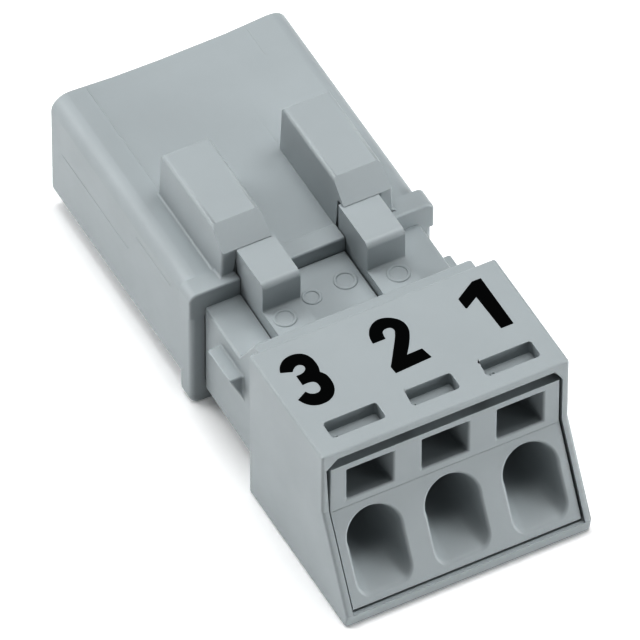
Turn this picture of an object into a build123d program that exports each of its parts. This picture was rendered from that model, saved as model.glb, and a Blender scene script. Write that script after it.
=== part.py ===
"""Three-pole power plug connector with spring clamps, round pins in an open shroud and two latches.

The plug lies on its foot. +X runs along the poles from 3 to 1, +Y from the wire entries to the mating
end, +Z up. The origin is at the middle of the length and width, on the surface that the plug rests on.
"""
import os
from math import atan2, degrees

from build123d import *

# Driving dimensions in millimetres

pole_pitch = 10.0
end_margin = 1.2
running_gap = 0.25
fit_gap = 0.15

# Terminal cover: a shell around the clamps, with a sloping lower front
cover_width = 3 * pole_pitch + 2 * end_margin
cover_height = 23.9
cover_depth = 18.15
foot_reach = 6.1
foot_height = 2.1
foot_undercut = 0.35
kink_height = 14.3
cover_top_wall = 1.3
cover_side_wall = 0.9
cover_floor_wall = 1.95
cover_rear_wall = 1.2
cover_rounding = 0.4
cavity_chamfer = 1.2
slot_setback = 3.55
slot_width = 2.58
outer_slot_length = 6.96
middle_slot_length = 6.14
slot_pitch = pole_pitch + 0.15
slot_depth = 1.9
slot_wall = 0.8

# Wire entry block: the insert with the funnels and the tool openings
entry_top_height = 21.1
entry_recess = 0.12
entry_kink_drop = 0.6
entry_rear = 6.0
entry_rounding = 0.25
tool_opening_width = 6.08
tool_opening_height = 5.1
tool_opening_sill = 14.9
tool_opening_pitch = pole_pitch - 0.15
tool_opening_taper = 14.0
wire_pitch = pole_pitch + 0.25
funnel_width = 7.1
funnel_top_height = 12.75
funnel_foot_height = 3.3
funnel_corner = 1.7
funnel_relief = 0.06
wire_bore_radius = 2.4
funnel_depth = 4.75
wire_axis_height = 7.5

# Contact carrier: the moulding that holds the contacts and joins cover and shroud
carrier_foot = 2.6
carrier_head_top = 22.2
carrier_head_rear = 20.55
ramp_run = 3.65
carrier_deck = 16.45
deck_pad_rise = 0.6
carrier_length = 46.0
tail_top = 15.9
chamber_partition = 1.8
chamber_foot = 3.6
chamber_roof = 20.9
chamber_rear = 19.0
lug_reach = 1.9
lug_top = 14.2
lug_height = 4.2
lug_front = 23.1
lug_length = 5.7

# Mating shroud with its collar and the two latch hoods
shroud_inset = 0.5
shroud_foot = 1.45
shroud_top = 18.6
shroud_wall = 1.6
shroud_corner = 2.2
shroud_hollow = 0.4
shroud_mouth = 69.2
cavity_corner = 0.8
collar_front = 32.9
collar_thickness = 2.7
collar_top = 19.13
collar_band_height = 3.9
collar_band_step = 0.22
collar_corner = 1.1
collar_rounding = 0.3
hood_inner_margin = 0.1
hood_outer_margin = 2.27
hood_side_draft = 0.37
hood_top = 25.3
hood_front = 34.1
hood_rear = 49.65
hood_lip_height = 23.15
hood_slope_run = 2.9
hood_wall = 1.3
hood_rounding = 0.6
hood_mouth_top = 23.05

# Latches: flat arms with a push block, rooted in the carrier's head
latch_inner_side = 4.6
latch_width = 4.63
latch_gap = 0.3
latch_arm_top = 18.4
latch_arm_thickness = 3.0
latch_root_station = 22.2
latch_root_height = 16.9
latch_root_radius = 1.25
latch_root_clearance = 0.05
latch_neck_height = 1.6
latch_arm_front = 0.8
latch_travel = 2.0
block_front = 27.55
block_rear = 35.0
block_height = 4.5
block_rounding = 0.85
latch_tail_side = 6.15
latch_tail_end = 42.0
hook_length = 2.6
hook_rise = 1.9

# Contact pins, current bars and clamp springs
pin_radius = 2.0
pin_shank_radius = 2.2
pin_step_gap = 0.1
pin_axis_height = 10.05
pin_tip = 63.0
pin_lead = 1.1
pin_collar_radius = 2.75
pin_collar_front = 22.6
pin_collar_length = 2.0
pin_tail = 19.4
pin_bore_gap = 0.05
bar_thickness = 0.8
bar_width = 5.0
bar_nose_width = 3.1
bar_nose_length = 2.4
bar_tongue_width = 3.4
bar_front = 7.2
bar_shoulder = 18.8
bar_rear = 22.2
spring_thickness = 0.5
spring_width = 5.6
spring_leg_front = 9.9
spring_loop_radius = 3.2
spring_loop_station = 13.4
spring_cage_station = 8.6
spring_crest_rise = 0.5
spring_bend_radius = 1.0
window_width = 3.5
window_sill = 1.0
window_height = 5.6

# Stations along the plug, measured from the middle of its length
y_front = (foot_reach - shroud_mouth) / 2
y_foot = y_front - foot_reach
y_cover_rear = y_front + cover_depth
y_mouth = y_front + shroud_mouth
y_collar = y_front + collar_front
y_collar_rear = y_collar + collar_thickness
y_entry_rear = y_front + entry_rear
y_carrier_rear = y_front + carrier_length
y_head_rear = y_front + carrier_head_rear
y_ramp_foot = y_head_rear + ramp_run
y_hood_front = y_front + hood_front
y_hood_rear = y_front + hood_rear
y_root = y_front + latch_root_station
y_arm_front = y_root + latch_arm_front
cavity_half_width = cover_width / 2 - cover_side_wall
shroud_half_width = cover_width / 2 - shroud_inset
carrier_half_width = shroud_half_width - shroud_wall + fit_gap
chamber_width = pole_pitch - chamber_partition
latch_outer_side = latch_inner_side + latch_width
hood_inner_side = latch_inner_side - hood_inner_margin
hood_outer_side = latch_outer_side + hood_outer_margin
slope = foot_reach / (kink_height - foot_height)
latch_arm_foot = latch_arm_top - latch_arm_thickness
pocket_floor = latch_arm_foot - latch_travel
pocket_inner_side = latch_inner_side - latch_gap
pocket_outer_side = latch_outer_side + latch_gap
bar_foot = pin_axis_height - bar_thickness / 2
bar_top = pin_axis_height + bar_thickness / 2
poles = {1: pole_pitch, 2: 0.0, 3: -pole_pitch}
sides = {"left": -1, "right": 1}


def across(y):
    """Plane across the plug at a station: local x is +X, local y is +Z, the normal is -Y."""
    return Plane.XZ.offset(-y)


def along(x):
    """Plane along the plug at a distance from its middle: local x is +Y, local y is +Z."""
    return Plane.YZ.offset(x)


def span(low, high):
    """Middle of a range and its size."""
    return (low + high) / 2, abs(high - low)


def save(piece, name):
    """Label a finished piece and write it under the same name."""
    piece.part.label = name
    export_step(piece.part, f"parts/{name}.step")


os.makedirs("parts", exist_ok=True)

# Terminal cover
with BuildPart() as terminal_cover:
    with BuildSketch(Plane.YZ):
        with BuildLine():
            Polyline(
                (y_front, cover_height),
                (y_cover_rear, cover_height),
                (y_cover_rear, 0),
                (y_foot + foot_undercut, 0),
                (y_foot, foot_height),
                (y_front, kink_height),
                close=True,
            )
        make_face()
    extrude(amount=cover_width / 2, both=True)
    fillet(terminal_cover.edges(), cover_rounding)
    cavity_top = cover_height - cover_top_wall
    cavity_z, cavity_height = span(cover_floor_wall, cavity_top)
    with BuildSketch(across(y_foot - 1)):
        with Locations((0, cavity_z)):
            Rectangle(2 * cavity_half_width, cavity_height)
        chamfer(vertices().group_by(Axis.Y)[-1], cavity_chamfer)
    extrude(amount=-(y_cover_rear - cover_rear_wall - y_foot + 1), mode=Mode.SUBTRACT)
    opening_z, opening_height = span(carrier_foot - fit_gap, carrier_head_top + fit_gap)
    with BuildSketch(across(y_cover_rear)):
        with Locations((0, opening_z)):
            Rectangle(2 * (carrier_half_width + fit_gap), opening_height)
    extrude(amount=2 * cover_rear_wall, mode=Mode.SUBTRACT)
    y_slot = y_front + slot_setback
    slot_sizes = {-slot_pitch: outer_slot_length, 0: middle_slot_length, slot_pitch: outer_slot_length}
    for x, length in slot_sizes.items():
        with BuildSketch(Plane.XY.offset(cavity_top)):
            with Locations((x, y_slot)):
                Rectangle(length + 2 * slot_wall, slot_width + 2 * slot_wall)
        extrude(amount=cover_top_wall - slot_depth - slot_wall)
        with BuildSketch(Plane.XY.offset(cover_height)):
            with Locations((x, y_slot)):
                Rectangle(length, slot_width)
        extrude(amount=-slot_depth, mode=Mode.SUBTRACT)
save(terminal_cover, "terminal_cover")

# Wire entry block: levels and the plane of its sloping face
entry_kink_height = kink_height - entry_kink_drop
entry_half_width = cavity_half_width - running_gap
entry_foot = cover_floor_wall + running_gap
y_entry_front = y_front + entry_recess
face_stretch = (1 + slope**2) ** 0.5
face_plane = Plane(
    origin=(0, y_entry_front, entry_kink_height),
    x_dir=(1, 0, 0),
    z_dir=(0, -1, slope),
)

# Funnel: the space cut from the block for each conductor, with a round crown above a trough
throat_centre = (wire_axis_height - entry_kink_height) * face_stretch + funnel_depth * slope
funnel_radius = funnel_width / 2
funnel_taper = degrees(atan2(funnel_radius - wire_bore_radius, funnel_depth))
mouth_foot = (funnel_foot_height - entry_kink_height) * face_stretch
throat_foot = throat_centre - wire_bore_radius
crown = (funnel_top_height - entry_kink_height) * face_stretch - funnel_radius
with BuildPart() as funnel:
    with BuildSketch(Plane(origin=face_plane.origin, x_dir=face_plane.y_dir, z_dir=(-1, 0, 0))):
        with BuildLine():
            Polyline(
                (mouth_foot, 0),
                (crown, 0),
                (crown, funnel_depth),
                (throat_foot, funnel_depth),
                close=True,
            )
        make_face()
    extrude(amount=funnel_radius, both=True)
    mouth_half_width = funnel_radius - funnel_relief
    throat_half_width = wire_bore_radius - funnel_relief
    with BuildSketch(Plane(origin=face_plane.origin, x_dir=(1, 0, 0), z_dir=face_plane.y_dir)):
        with BuildLine():
            Polyline(
                (-mouth_half_width, 0),
                (mouth_half_width, 0),
                (throat_half_width, funnel_depth),
                (-throat_half_width, funnel_depth),
                close=True,
            )
        make_face()
    extrude(amount=entry_top_height, both=True, mode=Mode.INTERSECT)
    trough_floor = funnel.faces().sort_by(Axis.Z)[0]
    fillet(trough_floor.edges().filter_by(Axis.X, reverse=True), funnel_corner)
    with BuildSketch(face_plane):
        with Locations((0, crown)):
            Circle(funnel_radius)
    extrude(amount=-funnel_depth, taper=funnel_taper)

# Wire entry block
with BuildPart() as wire_entry_block:
    with BuildSketch(Plane.YZ):
        with BuildLine():
            Polyline(
                (y_entry_front, entry_top_height),
                (y_entry_rear, entry_top_height),
                (y_entry_rear, entry_foot),
                (y_entry_front - (entry_kink_height - entry_foot) * slope, entry_foot),
                (y_entry_front, entry_kink_height),
                close=True,
            )
        make_face()
    extrude(amount=entry_half_width, both=True)
    fillet(wire_entry_block.edges().filter_by(Axis.Z), entry_rounding)
    with BuildSketch(across(y_entry_front)):
        sill = tool_opening_sill + tool_opening_height / 2
        with Locations((-tool_opening_pitch, sill), (0, sill), (tool_opening_pitch, sill)):
            Rectangle(tool_opening_width, tool_opening_height)
    extrude(amount=-entry_rear, taper=tool_opening_taper / 2, mode=Mode.SUBTRACT)
    wire_sides = (-wire_pitch, 0, wire_pitch)
    with Locations(*[(x, 0, 0) for x in wire_sides]):
        add(funnel.part, mode=Mode.SUBTRACT)
    with BuildSketch(across(y_entry_rear)):
        with Locations(*[(x, wire_axis_height) for x in wire_sides]):
            Circle(wire_bore_radius)
    y_throat = y_entry_front + funnel_depth * face_stretch - (entry_kink_height - wire_axis_height) * slope
    extrude(amount=y_entry_rear - y_throat + wire_bore_radius * slope, mode=Mode.SUBTRACT)
save(wire_entry_block, "wire_entry_block")

# Contact carrier
with BuildPart() as contact_carrier:
    front_half_width = cavity_half_width - running_gap
    y_shoulder = y_cover_rear - cover_rear_wall
    front_z, front_height = span(cover_floor_wall + running_gap, carrier_head_top)
    with BuildSketch(across(y_entry_rear)):
        with Locations((0, front_z)):
            Rectangle(2 * front_half_width, front_height)
        chamfer(vertices().group_by(Axis.Y)[-1], cavity_chamfer)
    extrude(amount=-(y_shoulder - y_entry_rear))
    with BuildSketch(Plane.YZ):
        with BuildLine():
            Polyline(
                (y_shoulder, carrier_foot),
                (y_shoulder, carrier_head_top),
                (y_head_rear, carrier_head_top),
                (y_ramp_foot, carrier_deck),
                (y_collar, carrier_deck),
                (y_collar, carrier_foot),
                close=True,
            )
        make_face()
    extrude(amount=carrier_half_width, both=True)
    tail_half_width = shroud_half_width - shroud_wall - fit_gap
    tail_z, tail_height = span(shroud_foot + shroud_wall + fit_gap, tail_top)
    with BuildSketch(across(y_collar)):
        with Locations((0, tail_z)):
            Rectangle(2 * tail_half_width, tail_height)
        fillet(vertices(), cavity_corner)
    extrude(amount=-(y_carrier_rear - y_collar))
    y_pad, pad_length = span(y_ramp_foot - ramp_run / 2, y_collar)
    with BuildSketch(Plane.XY.offset(carrier_deck - deck_pad_rise)):
        with Locations((0, y_pad)):
            Rectangle(2 * pocket_inner_side, pad_length)
    extrude(amount=2 * deck_pad_rise)
    for side in sides.values():
        y_lug = y_front + lug_front
        with BuildSketch(across(y_lug)):
            with BuildLine():
                Polyline(
                    (side * (carrier_half_width - 1), lug_top),
                    (side * (carrier_half_width + lug_reach), lug_top),
                    (side * carrier_half_width, lug_top - lug_height),
                    (side * (carrier_half_width - 1), lug_top - lug_height),
                    close=True,
                )
            make_face()
        extrude(amount=-lug_length)
    for x in poles.values():
        chamber_z, chamber_height = span(chamber_foot, chamber_roof)
        with BuildSketch(across(y_entry_rear)):
            with Locations((x, chamber_z)):
                Rectangle(chamber_width, chamber_height)
            fillet(vertices(), cavity_corner)
        extrude(amount=-(chamber_rear - entry_rear), mode=Mode.SUBTRACT)
        with BuildSketch(across(y_front + chamber_rear)):
            with Locations((x, pin_axis_height)):
                Circle(pin_collar_radius + pin_bore_gap)
        counterbore_depth = pin_collar_front + pin_collar_length - chamber_rear
        extrude(amount=-counterbore_depth, mode=Mode.SUBTRACT)
        with BuildSketch(across(y_carrier_rear)):
            with Locations((x, pin_axis_height)):
                Circle(pin_shank_radius + pin_bore_gap)
        extrude(amount=carrier_length - chamber_rear, mode=Mode.SUBTRACT)
    for side in sides.values():
        x_pocket, pocket_width = span(side * pocket_inner_side, side * pocket_outer_side)
        y_pocket, pocket_length = span(y_arm_front - latch_gap, y_carrier_rear)
        with BuildSketch(Plane.XY.offset(pocket_floor)):
            with Locations((x_pocket, y_pocket)):
                Rectangle(pocket_width, pocket_length)
        extrude(amount=carrier_head_top - pocket_floor, mode=Mode.SUBTRACT)
        with BuildSketch(along(x_pocket)):
            with Locations((y_root, latch_root_height)):
                Circle(latch_root_radius + latch_root_clearance)
        extrude(amount=pocket_width / 2, both=True, mode=Mode.SUBTRACT)
save(contact_carrier, "contact_carrier")

# Mating shroud
with BuildPart() as mating_shroud:
    band_z, band_height = span(collar_top - collar_band_height, collar_top)
    with BuildSketch(across(y_collar)):
        with Locations((0, band_z)):
            Rectangle(cover_width, band_height)
        fillet(vertices().group_by(Axis.Y)[-1], collar_corner)
    extrude(amount=-collar_thickness)
    band_rim = mating_shroud.edges().group_by(Axis.Y)[0]
    fillet(band_rim.group_by(Axis.Z)[1:], collar_rounding)
    with BuildSketch(across(y_collar + collar_band_step)):
        with Locations((0, collar_top / 2 - collar_rounding)):
            Rectangle(cover_width - 2 * collar_band_step, collar_top - 2 * collar_rounding)
    extrude(amount=-(collar_thickness - collar_band_step))
    tube_z, tube_height = span(shroud_foot, shroud_top)
    with BuildSketch(across(y_collar_rear)):
        with Locations((0, tube_z)):
            Rectangle(2 * shroud_half_width, tube_height)
        fillet(vertices(), shroud_corner)
        with BuildLine():
            edge = shroud_half_width - shroud_corner
            ThreePointArc((-edge, shroud_top), (0, shroud_top - shroud_hollow), (edge, shroud_top))
            Line((edge, shroud_top), (-edge, shroud_top))
        make_face(mode=Mode.SUBTRACT)
    extrude(amount=-(y_mouth - y_collar_rear))
    for side in sides.values():
        with BuildSketch(across(y_hood_front)):
            with BuildLine():
                Polyline(
                    (side * hood_inner_side, shroud_top - shroud_wall),
                    (side * hood_outer_side, shroud_top - shroud_wall),
                    (side * (hood_outer_side - hood_side_draft), hood_top),
                    (side * (hood_inner_side + hood_side_draft), hood_top),
                    close=True,
                )
            make_face()
        extrude(amount=-(y_hood_rear - y_hood_front))
    hood_tops = mating_shroud.faces().filter_by(Axis.Z).group_by(Axis.Z)[-1]
    fillet(hood_tops.edges(), hood_rounding)
    with BuildSketch(Plane.YZ):
        with BuildLine():
            Polyline(
                (y_hood_front, hood_lip_height),
                (y_hood_front + hood_slope_run, hood_top),
                (y_hood_front + hood_slope_run, hood_top + 1),
                (y_hood_front - 1, hood_top + 1),
                (y_hood_front - 1, hood_lip_height),
                close=True,
            )
        make_face()
    extrude(amount=hood_outer_side + 1, both=True, mode=Mode.SUBTRACT)
    hollow_tops = {
        (y_collar, y_collar_rear): tail_top + fit_gap,
        (y_collar_rear, y_mouth): shroud_top - shroud_wall,
    }
    for (start, end), top in hollow_tops.items():
        hollow_z, hollow_height = span(shroud_foot + shroud_wall, top)
        with BuildSketch(across(start)):
            with Locations((0, hollow_z)):
                Rectangle(2 * (shroud_half_width - shroud_wall), hollow_height)
            fillet(vertices(), cavity_corner)
        extrude(amount=start - end, mode=Mode.SUBTRACT)
    for side in sides.values():
        x_notch, notch_width = span(side * pocket_inner_side, side * pocket_outer_side)
        y_notch, notch_length = span(y_collar, y_collar_rear)
        with BuildSketch(Plane.XY.offset(pocket_floor)):
            with Locations((x_notch, y_notch)):
                Rectangle(notch_width, notch_length)
        extrude(amount=hood_mouth_top - pocket_floor, mode=Mode.SUBTRACT)
        x_tunnel, tunnel_width = span(side * (latch_tail_side - latch_gap), side * pocket_outer_side)
        y_tunnel, tunnel_length = span(y_collar_rear, y_hood_rear - hood_wall)
        with BuildSketch(Plane.XY.offset(pocket_floor)):
            with Locations((x_tunnel, y_tunnel)):
                Rectangle(tunnel_width, tunnel_length)
        extrude(amount=hood_top - hood_wall - pocket_floor, mode=Mode.SUBTRACT)
save(mating_shroud, "mating_shroud")

# Release latches
for name, side in sides.items():
    with BuildPart() as release_latch:
        x_arm, arm_width = span(side * latch_inner_side, side * latch_outer_side)
        with BuildSketch(along(x_arm)):
            with BuildLine():
                Polyline(
                    (y_arm_front, latch_arm_foot),
                    (y_front + block_rear, latch_arm_foot),
                    (y_front + block_rear, latch_arm_top + block_height),
                    (y_front + block_front, latch_arm_top + block_height),
                    (y_front + block_front, latch_arm_top),
                    (y_arm_front, latch_arm_top),
                    close=True,
                )
            make_face()
            with Locations((y_root, latch_root_height)):
                Circle(latch_root_radius)
            with Locations((y_root + latch_arm_front / 2, latch_root_height)):
                Rectangle(latch_arm_front, latch_neck_height)
        extrude(amount=arm_width / 2, both=True)
        block_edge = release_latch.edges().filter_by(Axis.X).group_by(Axis.Z)[-1].sort_by(Axis.Y)[0]
        fillet(block_edge, block_rounding)
        x_tail, tail_width = span(side * latch_tail_side, side * latch_outer_side)
        with BuildSketch(along(x_tail)):
            with BuildLine():
                y_tail = y_front + latch_tail_end
                Polyline(
                    (y_front + block_rear - 1, latch_arm_foot),
                    (y_tail, latch_arm_foot),
                    (y_tail, latch_arm_top + hook_rise / 3),
                    (y_tail - hook_length, latch_arm_top + hook_rise),
                    (y_tail - hook_length, latch_arm_top),
                    (y_front + block_rear - 1, latch_arm_top),
                    close=True,
                )
            make_face()
        extrude(amount=tail_width / 2, both=True)
    save(release_latch, f"release_latch_{name}")

# Contact pins
for pole, x in poles.items():
    with BuildPart() as contact_pin:
        with BuildSketch(across(y_front + pin_tail)):
            with Locations((x, pin_axis_height)):
                Circle(pin_radius)
        extrude(amount=-(pin_tip - pin_tail))
        tip_edge = contact_pin.edges().group_by(Axis.Y)[-1]
        chamfer(tip_edge, pin_lead, pin_lead * 0.6)
        with BuildSketch(across(y_front + pin_tail)):
            with Locations((x, pin_axis_height)):
                Circle(pin_shank_radius)
        extrude(amount=-(carrier_length + pin_step_gap - pin_tail))
        with BuildSketch(across(y_front + pin_collar_front)):
            with Locations((x, pin_axis_height)):
                Circle(pin_collar_radius)
        extrude(amount=-pin_collar_length)
        flat_length = pin_collar_front - pin_tail
        with BuildSketch(across(y_front + pin_tail)):
            with Locations((x, bar_foot + pin_radius)):
                Rectangle(3 * pin_radius, 2 * pin_radius)
        extrude(amount=-flat_length, mode=Mode.SUBTRACT)
    save(contact_pin, f"contact_pin_{pole}")

# Current bars
for pole, x in poles.items():
    with BuildPart() as current_bar:
        with BuildSketch(Plane.XY.offset(bar_foot)):
            y_strip, strip_length = span(y_front + bar_front + bar_nose_length, y_front + bar_shoulder)
            with Locations((x, y_strip)):
                Rectangle(bar_width, strip_length)
            y_nose, nose_length = span(y_front + bar_front, y_strip)
            with Locations((x, y_nose)):
                Rectangle(bar_nose_width, nose_length)
            y_tongue, tongue_length = span(y_strip, y_front + bar_rear)
            with Locations((x, y_tongue)):
                Rectangle(bar_tongue_width, tongue_length)
        extrude(amount=bar_thickness)
    save(current_bar, f"current_bar_{pole}")

# Clamp springs
for pole, x in poles.items():
    with BuildPart() as clamp_spring:
        leg = bar_top + spring_thickness / 2
        crest = leg + 2 * spring_loop_radius
        y_cage = y_front + spring_cage_station
        y_loop = y_front + spring_loop_station
        cage_foot = bar_foot - window_sill
        bend = spring_bend_radius * 0.2929
        with BuildSketch(along(x)):
            with BuildLine():
                Line((y_front + spring_leg_front, leg), (y_loop, leg))
                loop_side = (y_loop + spring_loop_radius, leg + spring_loop_radius)
                ThreePointArc((y_loop, leg), loop_side, (y_loop, crest))
                Line((y_loop, crest), (y_cage + spring_bend_radius, crest))
                ThreePointArc(
                    (y_cage + spring_bend_radius, crest),
                    (y_cage + bend, crest - bend),
                    (y_cage, crest - spring_bend_radius),
                )
                Line((y_cage, crest - spring_bend_radius), (y_cage, cage_foot))
            trace(line_width=spring_thickness)
        extrude(amount=spring_width / 2, both=True)
        window_z, window_size = span(bar_foot, bar_foot + window_height)
        with BuildSketch(across(y_cage - 1)):
            with Locations((x, window_z)):
                Rectangle(window_width, window_size)
        extrude(amount=-2, mode=Mode.SUBTRACT)
    save(clamp_spring, f"clamp_spring_{pole}")
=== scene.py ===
from math import cos, pi, radians, sin

import bmesh
import bpy
from mathutils import Matrix, Vector


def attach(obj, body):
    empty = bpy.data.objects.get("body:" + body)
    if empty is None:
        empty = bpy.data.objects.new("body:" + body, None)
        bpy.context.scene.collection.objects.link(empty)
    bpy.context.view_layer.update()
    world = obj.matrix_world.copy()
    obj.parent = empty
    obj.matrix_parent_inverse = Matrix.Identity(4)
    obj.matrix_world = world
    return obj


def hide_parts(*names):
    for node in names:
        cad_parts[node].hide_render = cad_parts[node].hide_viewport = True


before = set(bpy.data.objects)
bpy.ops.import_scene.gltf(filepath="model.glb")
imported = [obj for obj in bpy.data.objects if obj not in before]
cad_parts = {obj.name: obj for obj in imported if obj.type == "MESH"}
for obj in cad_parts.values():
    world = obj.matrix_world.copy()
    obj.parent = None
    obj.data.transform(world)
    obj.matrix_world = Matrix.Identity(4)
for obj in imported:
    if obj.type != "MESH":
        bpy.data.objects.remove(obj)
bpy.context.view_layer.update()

# The photograph's view: a long lens looks down on the plug from its pole 3 side, ahead of the wire
# entries, so its parallel edges stay almost parallel in the picture. Sizes are in millimetres, and
# stations along the plug are counted from the front edge of the cover's top.
mm = 0.001
front_edge_station = -31.55
view_azimuth = -0.4910569888
view_elevation = 0.8388706336
view_roll = 0.0028117912
view_distance = 1.6
view_shift = (14.529094, -26.276515)
view_focal_pixels = 13740.596
picture_pixels = 640
film_width = 36


def at(x, y, z):
    """A place on the plug, with y counted from the front edge of the cover's top."""
    return Vector((x, y + front_edge_station, z)) * mm


back = Vector((sin(view_azimuth) * cos(view_elevation), -cos(view_azimuth) * cos(view_elevation),
               sin(view_elevation)))
level = Vector((cos(view_azimuth), sin(view_azimuth), 0))
upright = back.cross(level)
right = cos(view_roll) * level + sin(view_roll) * upright
above = -sin(view_roll) * level + cos(view_roll) * upright

camera_data = bpy.data.cameras.new("photo_camera")
camera = bpy.data.objects.new("photo_camera", camera_data)
bpy.context.scene.collection.objects.link(camera)
camera_data.sensor_width = film_width
camera_data.lens = view_focal_pixels * film_width / picture_pixels
camera_data.clip_start, camera_data.clip_end = 0.05, 20
place = Matrix((right, above, back)).transposed().to_4x4()
aim = at(0, 0, 0) - (view_shift[0] * right + view_shift[1] * above) * mm
place.translation = aim + view_distance * back
camera.matrix_world = place
bpy.context.scene.camera = camera

# The studio: a softly glowing white table in a dark room, with large soft lights overhead and low
# round it. The table throws light back onto the plug's sides.
sweep_half = 3.0
sweep_drop = 0.02
sweep_white = (0.9, 0.9, 0.9, 1)
lights = {
    "overhead_softbox": ((0, 0, 1.0), 5.8),
    "right_softbox": ((0.5, 0, 0.87), 3.0),
    "rear_softbox": ((0, 0.5, 0.87), 1.8),
    "rear_left_softbox": ((-0.58, 0.58, 0.57), 5.0),
    "front_right_softbox": ((0.58, -0.58, 0.57), 0.4),
    "rear_left_strip": ((-0.69, 0.69, 0.21), 1.0),
    "rear_strip": ((0, 0.98, 0.21), 1.1),
    "left_table_strip": ((-1.0, 0, 0.06), 2.6),
    "front_right_table_strip": ((0.71, -0.71, 0.06), 10.0),
}
light_size = 0.6
table_glow = 0.14
tone_gamma = 0.65

sweep_shape = bmesh.new()
bmesh.ops.create_grid(sweep_shape, x_segments=1, y_segments=1, size=sweep_half)
bmesh.ops.translate(sweep_shape, verts=sweep_shape.verts, vec=(0, 0, -sweep_drop * mm))
sweep_mesh = bpy.data.meshes.new("sweep")
sweep_shape.to_mesh(sweep_mesh)
sweep_shape.free()
sweep = bpy.data.objects.new("sweep", sweep_mesh)
bpy.context.scene.collection.objects.link(sweep)
sweep_paper = bpy.data.materials.new("sweep_paper")
sweep_paper.use_nodes = True
paper = sweep_paper.node_tree.nodes["Principled BSDF"]
paper.inputs["Base Color"].default_value = sweep_white
paper.inputs["Roughness"].default_value = 0.9
paper.inputs["Specular IOR Level"].default_value = 0.1
paper.inputs["Emission Color"].default_value = (1, 1, 1, 1)
paper.inputs["Emission Strength"].default_value = table_glow
sweep_mesh.materials.append(sweep_paper)

room = bpy.data.worlds.new("room")
bpy.context.scene.world = room
room.use_nodes = True
room.node_tree.nodes["Background"].inputs["Color"].default_value = (0, 0, 0, 1)

for light_name, (spot, energy) in lights.items():
    lamp = bpy.data.lights.new(light_name, "AREA")
    lamp.shape = "DISK"
    lamp.size = light_size
    lamp.energy = energy
    light = bpy.data.objects.new(light_name, lamp)
    bpy.context.scene.collection.objects.link(light)
    light.location = Vector(spot)
    light.rotation_mode = "QUATERNION"
    light.rotation_quaternion = (-Vector(spot)).to_track_quat("-Z", "Y")
    light.visible_camera = False
bpy.context.scene.view_settings.view_transform = "Standard"
bpy.context.scene.view_settings.gamma = tone_gamma

# Terminal cover: one shell of grey polyamide, moulded with small radii on every outside edge. It
# slides over the contact carrier from the front and snaps behind the carrier's head.
polyamide_grey = (0.408, 0.440, 0.4525, 1)
moulding_radii = (0.3 * mm, 0.12 * mm)
cover_top = 23.9
cover_weld = 0.16 * mm
slot_floor = 22.0
slot_reach = 14
slot_span = (2.15, 4.95)
slot_upright_length = 2 * mm
slot_corner_radius = 0.4 * mm
slot_rim_radius = 0.1 * mm
same_point = 0.0002 * mm
flat_turn = radians(1.5)
sharp_turn = radians(20)
shading_turn = radians(26)
bevel_room = 2.1


def node_group(name, inputs, outputs):
    """A shader node group with named sockets, and its input and output nodes."""
    group = bpy.data.node_groups.new(name, "ShaderNodeTree")
    for socket_name, kind, value in inputs:
        socket = group.interface.new_socket(socket_name, in_out="INPUT", socket_type=kind)
        socket.default_value = value
    for socket_name, kind in outputs:
        group.interface.new_socket(socket_name, in_out="OUTPUT", socket_type=kind)
    return group, group.nodes.new("NodeGroupInput"), group.nodes.new("NodeGroupOutput")


def moulding_skin_group():
    """The skin of a moulding: faint flow mottling, fine spark-eroded grain and uneven gloss."""
    group, given, result = node_group(
        "moulding_skin",
        [("Plastic", "NodeSocketColor", (0.4, 0.4, 0.4, 1)), ("Mottling", "NodeSocketFloat", 0.03),
         ("Gloss Low", "NodeSocketFloat", 0.42), ("Gloss High", "NodeSocketFloat", 0.55)],
        [("Colour", "NodeSocketColor"), ("Roughness", "NodeSocketFloat"),
         ("Normal", "NodeSocketVector")])
    add, join = group.nodes.new, group.links.new
    where = add("ShaderNodeTexCoord")
    flow = add("ShaderNodeTexNoise")
    flow.inputs["Scale"].default_value = 140
    flow.inputs["Detail"].default_value = 4
    flow.inputs["Roughness"].default_value = 0.55
    join(where.outputs["Object"], flow.inputs["Vector"])
    shade = add("ShaderNodeMapRange")
    shade.inputs["From Min"].default_value = 0.3
    shade.inputs["From Max"].default_value = 0.7
    join(flow.outputs["Fac"], shade.inputs["Value"])
    join(given.outputs["Mottling"], shade.inputs["To Max"])
    darker = add("ShaderNodeMix")
    darker.data_type = "RGBA"
    darker.inputs["B"].default_value = (0.0, 0.0, 0.0, 1)
    join(shade.outputs["Result"], darker.inputs["Factor"])
    join(given.outputs["Plastic"], darker.inputs["A"])
    join(darker.outputs["Result"], result.inputs["Colour"])
    gloss = add("ShaderNodeMapRange")
    join(flow.outputs["Fac"], gloss.inputs["Value"])
    join(given.outputs["Gloss Low"], gloss.inputs["To Min"])
    join(given.outputs["Gloss High"], gloss.inputs["To Max"])
    join(gloss.outputs["Result"], result.inputs["Roughness"])
    grain = add("ShaderNodeTexNoise")
    grain.inputs["Scale"].default_value = 5200
    grain.inputs["Detail"].default_value = 2
    join(where.outputs["Object"], grain.inputs["Vector"])
    relief = add("ShaderNodeBump")
    relief.inputs["Strength"].default_value = 0.35
    relief.inputs["Distance"].default_value = 0.01 * mm
    join(grain.outputs["Fac"], relief.inputs["Height"])
    join(relief.outputs["Normal"], result.inputs["Normal"])
    return group


moulding_skin = moulding_skin_group()


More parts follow.
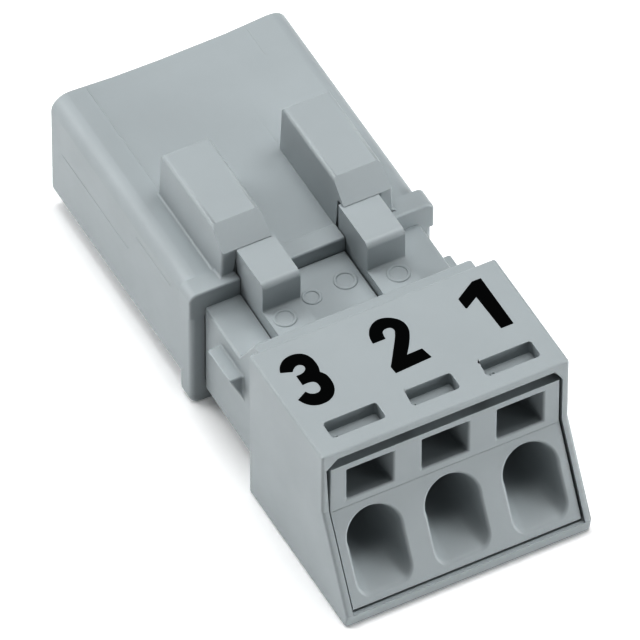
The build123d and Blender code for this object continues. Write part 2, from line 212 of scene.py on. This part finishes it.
def polyamide(name, colour, mottling=0.03, gloss=(0.42, 0.55)):
    """Grey polyamide as it leaves the mould."""
    material = bpy.data.materials.new(name)
    material.use_nodes = True
    tree = material.node_tree
    shader = tree.nodes["Principled BSDF"]
    skin = tree.nodes.new("ShaderNodeGroup")
    skin.node_tree = moulding_skin
    skin.inputs["Plastic"].default_value = colour
    skin.inputs["Mottling"].default_value = mottling
    skin.inputs["Gloss Low"].default_value, skin.inputs["Gloss High"].default_value = gloss
    tree.links.new(skin.outputs["Colour"], shader.inputs["Base Color"])
    tree.links.new(skin.outputs["Roughness"], shader.inputs["Roughness"])
    tree.links.new(skin.outputs["Normal"], shader.inputs["Normal"])
    shader.inputs["IOR"].default_value = 1.5
    return material


def merged_copy(node, weld=0.08 * mm):
    """A solid's mesh with its corners shared and its flat faces whole, ready to be rounded."""
    shape = bmesh.new()
    shape.from_mesh(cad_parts[node].data)
    bmesh.ops.remove_doubles(shape, verts=shape.verts, dist=same_point)
    bmesh.ops.remove_doubles(shape, verts=shape.verts, dist=weld)
    bmesh.ops.dissolve_limit(shape, angle_limit=flat_turn, verts=shape.verts, edges=shape.edges)
    return shape


def turns(edge):
    """Whether two faces meet at an edge and make it a crisp one."""
    return edge.is_manifold and edge.calc_face_angle() > sharp_turn


def bevel(shape, edges, radius, segments):
    """A round strip along each of the edges, set back by the radius on both sides."""
    bmesh.ops.bevel(shape, geom=edges, offset=radius, offset_type="OFFSET", segments=segments,
                    profile=0.5, affect="EDGES", clamp_overlap=False, material=-1)


def round_off(shape, radius, edges=None, segments=4):
    """Small radii along the crisp edges, where the edges that meet them leave room."""
    crisp = [e for e in (edges or shape.edges) if turns(e)]
    room = {e: min(n.calc_length() for v in e.verts for n in v.link_edges) for e in crisp}
    bevel(shape, [e for e in crisp if room[e] > bevel_room * radius], radius, segments)


def add_piece(name, shape, body, material):
    """A finished mesh as a piece of the plug that moves with its body."""
    for face in shape.faces:
        face.smooth = True
    mesh = bpy.data.meshes.new(name)
    shape.to_mesh(mesh)
    shape.free()
    mesh.set_sharp_from_angle(angle=shading_turn)
    mesh.materials.append(material)
    piece = bpy.data.objects.new(name, mesh)
    bpy.context.scene.collection.objects.link(piece)
    even = piece.modifiers.new("face_weighting", "WEIGHTED_NORMAL")
    even.keep_sharp = True
    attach(piece, body)
    return piece


def finished(node, shape, body, material):
    """The rounded copy of a solid, which is shown in the solid's place."""
    piece = add_piece(node + "_finished", shape, body, material)
    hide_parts(node)
    return piece


def on_slot_upright(edge):
    """Whether an edge is an upright corner of one of the slots in the cover's top."""
    low, high = sorted(v.co.z / mm for v in edge.verts)
    on_wall = abs(low - slot_floor) < 0.1 and high > cover_top - 0.1
    return on_wall and edge.calc_length() < slot_upright_length


def on_slot_rim(corner):
    """Whether a corner lies on the rim of one of the slots in the cover's top."""
    x, y, z = corner.co / mm
    in_span = slot_span[0] < y - front_edge_station < slot_span[1]
    return z > cover_top - 0.01 and abs(x) < slot_reach and in_span


housing_polyamide = polyamide("housing_polyamide", polyamide_grey)
cover_shape = merged_copy("terminal_cover", cover_weld)
slot_uprights = [e for e in cover_shape.edges if on_slot_upright(e)]
bevel(cover_shape, slot_uprights, slot_corner_radius, segments=4)
slot_rims = [e for e in cover_shape.edges if all(on_slot_rim(v) for v in e.verts) and turns(e)]
bevel(cover_shape, slot_rims, slot_rim_radius, segments=3)
for radius in moulding_radii:
    round_off(cover_shape, radius)
finished("terminal_cover", cover_shape, "housing", housing_polyamide)

# Pole numbers: 3, 2 and 1 are pad-printed in black on the cover's top, a few hundredths of a
# millimetre thick. Each outline is closed, and "VECTOR" marks its corners.
ink_film = 0.03
ink_weld = 0.0005 * mm
numeral_outlines = {
    "3": (
        (-14.29, 13.95, "VECTOR"), (-14.03, 14.56, "AUTO"), (-13.53, 15.17, "AUTO"),
        (-12.87, 15.59, "AUTO"), (-12.03, 15.76, "AUTO"), (-11.20, 15.63, "AUTO"),
        (-10.53, 15.22, "AUTO"), (-10.11, 14.56, "AUTO"), (-9.93, 13.60, "AUTO"),
        (-9.98, 12.60, "AUTO"), (-10.17, 11.95, "VECTOR"), (-9.75, 11.30, "AUTO"),
        (-9.62, 10.40, "AUTO"), (-9.72, 9.40, "AUTO"), (-10.10, 8.50, "AUTO"),
        (-10.90, 7.75, "AUTO"), (-12.00, 7.47, "AUTO"), (-13.10, 7.68, "AUTO"),
        (-13.90, 8.33, "AUTO"), (-14.42, 9.28, "VECTOR"), (-13.09, 10.00, "VECTOR"),
        (-12.72, 9.50, "AUTO"), (-12.00, 9.22, "AUTO"), (-11.40, 9.48, "AUTO"),
        (-11.20, 10.20, "AUTO"), (-11.40, 10.85, "AUTO"), (-11.95, 11.10, "AUTO"),
        (-12.87, 11.10, "VECTOR"), (-12.87, 12.64, "VECTOR"), (-12.20, 12.66, "AUTO"),
        (-11.58, 12.95, "AUTO"), (-11.35, 13.50, "AUTO"), (-11.58, 13.93, "AUTO"),
        (-12.10, 14.06, "AUTO"), (-12.60, 13.80, "AUTO"), (-12.95, 13.42, "VECTOR"),
    ),
    "2": (
        (-2.68, 12.94, "VECTOR"), (-2.60, 13.78, "AUTO"), (-2.32, 14.56, "AUTO"),
        (-1.71, 15.37, "AUTO"), (-0.99, 15.81, "AUTO"), (-0.21, 15.94, "AUTO"),
        (0.68, 15.69, "AUTO"), (1.46, 15.11, "AUTO"), (1.92, 14.44, "AUTO"),
        (2.08, 13.67, "AUTO"), (2.01, 12.94, "AUTO"), (1.73, 12.22, "AUTO"),
        (1.01, 11.00, "AUTO"), (-0.04, 9.56, "VECTOR"), (1.96, 9.61, "VECTOR"),
        (2.32, 7.94, "VECTOR"), (-2.49, 7.67, "VECTOR"), (-2.57, 8.78, "VECTOR"),
        (-2.10, 9.44, "AUTO"), (-1.04, 11.00, "AUTO"), (-0.10, 12.39, "AUTO"),
        (0.34, 13.17, "AUTO"), (0.51, 13.67, "AUTO"), (0.34, 14.11, "AUTO"),
        (-0.21, 14.30, "AUTO"), (-0.77, 14.11, "AUTO"), (-0.99, 13.61, "AUTO"),
        (-1.04, 12.94, "VECTOR"),
    ),
    "1": (
        (9.34, 14.41, "VECTOR"), (12.01, 16.06, "VECTOR"), (13.18, 16.06, "VECTOR"),
        (13.18, 8.11, "VECTOR"), (11.57, 8.11, "VECTOR"), (11.34, 13.76, "VECTOR"),
        (9.55, 12.68, "VECTOR"), (9.40, 12.78, "VECTOR"),
    ),
}

printing_ink = bpy.data.materials.new("printing_ink")
printing_ink.use_nodes = True
ink_tree = printing_ink.node_tree
ink_shader = ink_tree.nodes["Principled BSDF"]
ink_place = ink_tree.nodes.new("ShaderNodeTexCoord")
ink_speckle = ink_tree.nodes.new("ShaderNodeTexNoise")
ink_speckle.inputs["Scale"].default_value = 2600
ink_speckle.inputs["Detail"].default_value = 3
ink_tree.links.new(ink_place.outputs["Object"], ink_speckle.inputs["Vector"])
ink_colour = ink_tree.nodes.new("ShaderNodeMix")
ink_colour.data_type = "RGBA"
ink_colour.inputs["A"].default_value = (0.0012, 0.0018, 0.0019, 1)
ink_colour.inputs["B"].default_value = (0.0040, 0.0050, 0.0052, 1)
ink_tree.links.new(ink_speckle.outputs["Fac"], ink_colour.inputs["Factor"])
ink_tree.links.new(ink_colour.outputs["Result"], ink_shader.inputs["Base Color"])
ink_gloss = ink_tree.nodes.new("ShaderNodeMapRange")
ink_gloss.inputs["To Min"].default_value = 0.55
ink_gloss.inputs["To Max"].default_value = 0.75
ink_tree.links.new(ink_speckle.outputs["Fac"], ink_gloss.inputs["Value"])
ink_tree.links.new(ink_gloss.outputs["Result"], ink_shader.inputs["Roughness"])
ink_shader.inputs["Specular IOR Level"].default_value = 0.05

for digit, outline in numeral_outlines.items():
    stamp = bpy.data.curves.new("numeral_outline", "CURVE")
    stamp.dimensions = "2D"
    stamp.fill_mode = "BOTH"
    stamp.extrude = ink_film * mm / 2
    stamp.resolution_u = 6
    line = stamp.splines.new("BEZIER")
    line.bezier_points.add(len(outline) - 1)
    line.use_cyclic_u = True
    for point, (x, y, turn) in zip(line.bezier_points, outline):
        point.co = (x * mm, (y + front_edge_station) * mm, 0)
        point.handle_left_type = point.handle_right_type = turn
    drawn = bpy.data.objects.new("numeral_outline", stamp)
    bpy.context.scene.collection.objects.link(drawn)
    printed_shape = bmesh.new()
    printed_shape.from_mesh(bpy.data.meshes.new_from_object(drawn))
    bpy.data.objects.remove(drawn)
    bmesh.ops.remove_doubles(printed_shape, verts=printed_shape.verts, dist=ink_weld)
    bmesh.ops.translate(printed_shape, verts=printed_shape.verts, vec=(0, 0, cover_top * mm))
    add_piece("numeral_" + digit, printed_shape, "housing", printing_ink)

# Wire entry block: a grey polyamide insert that closes the cover's front. Its rounded funnels guide
# the conductors to the clamps, and the square openings above them take the blade of a tool.
funnel_sides = (-10.25, 0, 10.25)
funnel_half_width = 3.65
funnel_heights = (3.1, 12.9)
funnel_mouth_radius = 0.36 * mm
mouth_weld = 0.25 * mm
straight_rim = 1.5 * mm
funnel_rim_cuts = 9
funnel_steps = 7
bore_height = 7.5
bore_radius = 2.4
bore_end = 5.4
entry_rear = 6.0
tool_floor_band = (15, 16)
tool_floor_rear = 14.3
entry_slope = 0.5
entry_slope_reach = 0.004
entry_kink = (0.12, 13.7)
entry_kink_reach = 0.05


def in_funnel(corner, side):
    """Whether a corner lies in the space of one funnel, or on its rim."""
    x, y, z = corner.co / mm
    return abs(x - side) < funnel_half_width and funnel_heights[0] < z < funnel_heights[1]


def on_entry_slope(corner):
    """Whether a corner lies on the block's sloping face, in one of its funnel mouths."""
    x, y, z = corner.co / mm
    y -= front_edge_station
    on_face = abs(y - entry_kink[0] - (z - entry_kink[1]) * entry_slope) < entry_slope_reach
    return on_face and any(in_funnel(corner, side) for side in funnel_sides)


def on_entry_kink(corner):
    """Whether a corner lies on the line where the block's face starts to slope."""
    x, y, z = corner.co / mm
    off = (y - front_edge_station - entry_kink[0], z - entry_kink[1])
    return abs(off[0]) < entry_kink_reach and abs(off[1]) < entry_kink_reach


entry_shape = merged_copy("wire_entry_block", cover_weld)
mouth_corners = [v for v in entry_shape.verts if on_entry_slope(v)]
bmesh.ops.remove_doubles(entry_shape, verts=mouth_corners, dist=mouth_weld)
for side in funnel_sides:
    walls = [f for f in entry_shape.faces if all(in_funnel(v, side) for v in f.verts)]
    bmesh.ops.delete(entry_shape, geom=walls, context="FACES")
    rims = [e for e in entry_shape.edges
            if e.is_boundary and all(in_funnel(v, side) for v in e.verts)]
    bore_rim = [e for e in rims if not on_entry_slope(e.verts[0])]
    straight = [e for e in rims if e not in bore_rim and e.calc_length() > straight_rim]
    bmesh.ops.bisect_edges(entry_shape, edges=straight, cuts=funnel_rim_cuts)
    ring = [e for e in entry_shape.edges if e.is_boundary and all(
        on_entry_slope(v) and in_funnel(v, side) for v in e.verts)]
    for steps_left in range(funnel_steps, 0, -1):
        grown = bmesh.ops.extrude_edge_only(entry_shape, edges=ring)["geom"]
        ring = [e for e in grown if isinstance(e, bmesh.types.BMEdge) and e.is_boundary]
        for corner in {v for e in ring for v in e.verts}:
            out = Vector((corner.co.x - side * mm, corner.co.z - bore_height * mm))
            bore = out.normalized() * bore_radius * mm
            corner.co = corner.co.lerp(
                at(side, bore_end, bore_height) + Vector((bore.x, 0, bore.y)), 1 / steps_left)
    bmesh.ops.bridge_loops(entry_shape, edges=ring + bore_rim)
bmesh.ops.recalc_face_normals(entry_shape, faces=entry_shape.faces)
for corner in entry_shape.verts:
    x, y, z = corner.co / mm
    at_rear = abs(y - front_edge_station - entry_rear) < 0.01
    if at_rear and tool_floor_band[0] < z < tool_floor_band[1]:
        corner.co.z = tool_floor_rear * mm
mouths = [e for e in entry_shape.edges if all(on_entry_slope(v) for v in e.verts) and turns(e)]
bevel(entry_shape, mouths, funnel_mouth_radius, segments=5)
for radius in moulding_radii:
    outside = [e for e in entry_shape.edges if not any(
        in_funnel(v, side) for v in e.verts for side in funnel_sides)]
    outside = [e for e in outside if not all(on_entry_kink(v) for v in e.verts)]
    round_off(entry_shape, radius, outside)
finished("wire_entry_block", entry_shape, "housing", housing_polyamide)

# Marks of the moulds on the cover and the carrier: low round rims that the gauge pins and the
# ejector pins leave, on the floor of each slot and on the deck between the latches.
rim_width = 0.22
rim_height = 0.15
deck_pad = 17.05


def rim(name, centre, radius, body, width=rim_width):
    """A low round rim, half sunk in the flat face that it stands on."""
    shape = bmesh.new()
    bmesh.ops.create_circle(shape, segments=10, radius=width * mm)
    upright_turn = Matrix.Rotation(pi / 2, 3, "X")
    bmesh.ops.rotate(shape, verts=shape.verts, cent=(0, 0, 0), matrix=upright_turn)
    bmesh.ops.translate(shape, verts=shape.verts, vec=(radius * mm, 0, 0))
    bmesh.ops.spin(shape, geom=shape.verts[:] + shape.edges[:], cent=(0, 0, 0), axis=(0, 0, 1),
                   angle=2 * pi, steps=40, use_merge=True)
    bmesh.ops.scale(shape, verts=shape.verts, vec=(1, 1, rim_height / width))
    bmesh.ops.translate(shape, verts=shape.verts, vec=centre)
    bmesh.ops.recalc_face_normals(shape, faces=shape.faces)
    add_piece(name, shape, body, housing_polyamide)


for mark, x, y in (("left", -12.4, 3.6), ("middle", -2.15, 3.65), ("right", 8.15, 3.75)):
    rim("gauge_mark_" + mark, at(x, y, slot_floor), 0.26, "housing", width=0.14)
rim("ejector_mark_deck_wide", at(2.08, 28.6, deck_pad), 1.26, "housing")
rim("ejector_mark_deck_small", at(-2.6, 28.12, deck_pad), 1.02, "housing")

# Contact carrier: the long inner moulding that holds pins, bars and springs. It joins the cover to
# the mating shroud, and two pockets in its deck let the latch arms bend down.
carrier_weld = 0.14 * mm
carrier_shape = merged_copy("contact_carrier", carrier_weld)
for radius in moulding_radii:
    round_off(carrier_shape, radius)
finished("contact_carrier", carrier_shape, "housing", housing_polyamide)

# Mating shroud: an open rectangular tube round the pins, with a collar and two hoods that cover the
# latch hooks. It is pushed over the carrier's rear, and its mould left fine lines along it.
collar_face = 33.12
collar_depth = 3
collar_side = 15.9
collar_band_foot = 15.3
collar_foot_side = 14.7
collar_foot_top = 1.25
collar_foot_length = 5 * mm
collar_foot_radius = 1.2 * mm
collar_side_length = 20 * mm
collar_side_radius = 0.6 * mm
hood_brow_turns = (radians(15), radians(40))
hood_brow_length = 4 * mm
hood_brow_radius = 0.22 * mm
hood_height = 22
hood_lip = (22.95, 23.2)
hood_lip_drop = 0.13 * mm


def on_collar_foot(corner):
    """Whether a corner lies on the collar's lowest edge at its left or right side."""
    x, y, z = corner.co / mm
    return abs(x) > collar_side and y < collar_face + front_edge_station + collar_depth and z < 0.01


def on_collar_side(corner):
    """Whether a corner lies on the left or right outline of the collar's front, below its band."""
    x, y, z = corner.co / mm
    on_face = abs(y - front_edge_station - collar_face) < 0.02 and z < collar_band_foot
    return on_face and (abs(x) > collar_side or z < collar_foot_top and abs(x) > collar_foot_side)


def on_hood_brow(edge):
    """Whether an edge is a long, level one between a hood's top and its slope."""
    one, other = (v.co for v in edge.verts)
    level = abs(one.y - other.y) < 0.05 * mm and min(one.z, other.z) > hood_height * mm
    return (edge.is_manifold and hood_brow_turns[0] < edge.calc_face_angle() < hood_brow_turns[1]
            and edge.calc_length() > hood_brow_length and level)


shroud_shape = merged_copy("mating_shroud", same_point)
foot = [e for e in shroud_shape.edges if all(on_collar_foot(v) for v in e.verts)]
foot = [e for e in foot if e.calc_length() < collar_foot_length
        and abs(e.verts[0].co.x - e.verts[1].co.x) < 0.01 * mm]
bevel(shroud_shape, foot, collar_foot_radius, segments=6)
sides = [e for e in shroud_shape.edges if all(on_collar_side(v) for v in e.verts)]
sides = [e for e in sides if e.calc_length() < collar_side_length and turns(e)]
bevel(shroud_shape, sides, collar_side_radius, segments=4)
brows = [e for e in shroud_shape.edges if on_hood_brow(e)]
for corner in shroud_shape.verts:
    if hood_lip[0] * mm < corner.co.z < hood_lip[1] * mm:
        corner.co.z -= hood_lip_drop
bevel(shroud_shape, brows, hood_brow_radius, segments=4)
for radius in moulding_radii:
    round_off(shroud_shape, radius)
finished("mating_shroud", shroud_shape, "housing", housing_polyamide)

bead_half_width = 0.08
bead_rise = 0.03
bead_edge_radius = 0.015 * mm
kink_bead_half_width = 0.05
kink_bead_reach = 14.8
shroud_top = 18.6
shroud_hollow = 0.4
shroud_hollow_reach = 13.5
shroud_side = 15.7


def bead(name, low, high):
    """A fine raised line, as the joint of two mould halves leaves, between two corners."""
    shape = bmesh.new()
    bmesh.ops.create_cube(shape, size=1)
    bmesh.ops.scale(shape, verts=shape.verts, vec=high - low)
    bmesh.ops.translate(shape, verts=shape.verts, vec=(low + high) / 2)
    bmesh.ops.bevel(shape, geom=shape.edges[:], offset=bead_edge_radius, offset_type="OFFSET",
                    segments=1, profile=0.5, affect="EDGES", clamp_overlap=True, material=-1)
    add_piece(name, shape, "housing", housing_polyamide)


top_lines = ((-11.1, 49.6, 68.9), (4.83, 49.6, 68.9), (10.12, 63.6, 68.9))
side_lines = ((11.35, 49.5, 66.5), (15.35, 38.8, 47.4))
for number, (x, first, last) in enumerate(top_lines):
    skin = shroud_top - shroud_hollow * (1 - (x / shroud_hollow_reach) ** 2)
    bead(f"mould_line_top_{number}", at(x - bead_half_width, first, skin - bead_rise),
         at(x + bead_half_width, last, skin + bead_rise))
for number, (z, first, last) in enumerate(side_lines):
    bead(f"mould_line_side_{number}", at(-shroud_side - bead_rise, first, z - bead_half_width),
         at(-shroud_side + bead_rise, last, z + bead_half_width))
kink = at(0, *entry_kink)
kink_half = Vector((kink_bead_reach, kink_bead_half_width, kink_bead_half_width)) * mm
bead("mould_line_block", kink - kink_half, kink + kink_half)

# Release latches: spring arms with a push block in front and a hook under the hood. Each is moulded
# with a rounded root in the carrier's head, where it bends, and pressing the block frees the hook.
latch_grey = (0.412, 0.444, 0.4565, 1)
latch_middle = 6.915
latch_fit = 1.08
latch_arm_top = 18.4
latch_polyamide = polyamide("latch_polyamide", latch_grey, mottling=0.02)
for side, sign in (("left", -1), ("right", 1)):
    latch_shape = merged_copy("release_latch_" + side)
    middle = sign * latch_middle * mm
    for corner in latch_shape.verts:
        corner.co.x = middle + (corner.co.x - middle) * latch_fit
    for radius in moulding_radii:
        round_off(latch_shape, radius)
    finished("release_latch_" + side, latch_shape, side + "_latch", latch_polyamide)
    rim("ejector_mark_latch_" + side, at(sign * 7.5, 25.6, latch_arm_top), 1.24, side + "_latch")


# Contact pins: turned from copper alloy and tin-plated, with a tapered tip. Each is pressed through
# the carrier's wall, and its flat tail is joined to the current bar.
def worked_metal_group():
    """Plated metal with fine lines from its working and a faint, cloudy tarnish."""
    group, given, result = node_group(
        "worked_metal",
        [("Metal", "NodeSocketColor", (0.7, 0.7, 0.7, 1)), ("Tarnish", "NodeSocketFloat", 0.15),
         ("Line Scale", "NodeSocketVector", (1000, 1000, 1000)),
         ("Line Depth", "NodeSocketFloat", 0.3), ("Gloss Low", "NodeSocketFloat", 0.2),
         ("Gloss High", "NodeSocketFloat", 0.4)],
        [("Colour", "NodeSocketColor"), ("Roughness", "NodeSocketFloat"),
         ("Normal", "NodeSocketVector")])
    add, join = group.nodes.new, group.links.new
    where = add("ShaderNodeTexCoord")
    cloud = add("ShaderNodeTexNoise")
    cloud.inputs["Scale"].default_value = 420
    cloud.inputs["Detail"].default_value = 3
    join(where.outputs["Object"], cloud.inputs["Vector"])
    depth = add("ShaderNodeMath")
    depth.operation = "MULTIPLY"
    join(cloud.outputs["Fac"], depth.inputs[0])
    join(given.outputs["Tarnish"], depth.inputs[1])
    tone = add("ShaderNodeMix")
    tone.data_type = "RGBA"
    tone.inputs["B"].default_value = (0.22, 0.20, 0.18, 1)
    join(depth.outputs["Value"], tone.inputs["Factor"])
    join(given.outputs["Metal"], tone.inputs["A"])
    join(tone.outputs["Result"], result.inputs["Colour"])
    stretch = add("ShaderNodeMapping")
    join(where.outputs["Object"], stretch.inputs["Vector"])
    join(given.outputs["Line Scale"], stretch.inputs["Scale"])
    lines = add("ShaderNodeTexNoise")
    lines.inputs["Scale"].default_value = 1
    lines.inputs["Detail"].default_value = 3
    join(stretch.outputs["Vector"], lines.inputs["Vector"])
    gloss = add("ShaderNodeMapRange")
    join(lines.outputs["Fac"], gloss.inputs["Value"])
    join(given.outputs["Gloss Low"], gloss.inputs["To Min"])
    join(given.outputs["Gloss High"], gloss.inputs["To Max"])
    join(gloss.outputs["Result"], result.inputs["Roughness"])
    relief = add("ShaderNodeBump")
    relief.inputs["Distance"].default_value = 0.01 * mm
    join(given.outputs["Line Depth"], relief.inputs["Strength"])
    join(lines.outputs["Fac"], relief.inputs["Height"])
    join(relief.outputs["Normal"], result.inputs["Normal"])
    return group


worked_metal = worked_metal_group()


def metal(name, colour, tarnish, line_scale, line_depth, gloss):
    """A metal surface whose lines run across the direction that line_scale stretches most."""
    material = bpy.data.materials.new(name)
    material.use_nodes = True
    tree = material.node_tree
    shader = tree.nodes["Principled BSDF"]
    surface = tree.nodes.new("ShaderNodeGroup")
    surface.node_tree = worked_metal
    surface.inputs["Metal"].default_value = colour
    surface.inputs["Tarnish"].default_value = tarnish
    surface.inputs["Line Scale"].default_value = line_scale
    surface.inputs["Line Depth"].default_value = line_depth
    surface.inputs["Gloss Low"].default_value, surface.inputs["Gloss High"].default_value = gloss
    tree.links.new(surface.outputs["Colour"], shader.inputs["Base Color"])
    tree.links.new(surface.outputs["Roughness"], shader.inputs["Roughness"])
    tree.links.new(surface.outputs["Normal"], shader.inputs["Normal"])
    shader.inputs["Metallic"].default_value = 1
    return material


pin_edge_radius = 0.12 * mm
pin_tin = metal("pin_tin", (0.74, 0.73, 0.70, 1), 0.12, (300, 16000, 300), 0.25, (0.18, 0.34))
for pole in (1, 2, 3):
    pin_shape = merged_copy(f"contact_pin_{pole}")
    round_off(pin_shape, pin_edge_radius, segments=2)
    finished(f"contact_pin_{pole}", pin_shape, "housing", pin_tin)

# Current bars: tin-plated copper strip that carries the current from each clamp to its pin, and the
# hard face against which the spring presses the conductor.
strip_edge_radius = 0.06 * mm
bar_tin = metal("bar_tin", (0.76, 0.72, 0.66, 1), 0.2, (12000, 250, 12000), 0.3, (0.26, 0.42))
for pole in (1, 2, 3):
    bar_shape = merged_copy(f"current_bar_{pole}")
    round_off(bar_shape, strip_edge_radius, segments=2)
    finished(f"current_bar_{pole}", bar_shape, "housing", bar_tin)

# Clamp springs: bent from stainless spring strip, with a window in the long leg. Each sits round
# its current bar and pulls the conductor up against it.
spring_steel = metal("spring_strip", (0.56, 0.56, 0.55, 1), 0.08, (14000, 300, 300), 0.35,
                     (0.22, 0.38))
for pole in (1, 2, 3):
    spring_shape = merged_copy(f"clamp_spring_{pole}")
    round_off(spring_shape, strip_edge_radius, segments=2)
    finished(f"clamp_spring_{pole}", spring_shape, "housing", spring_steel)
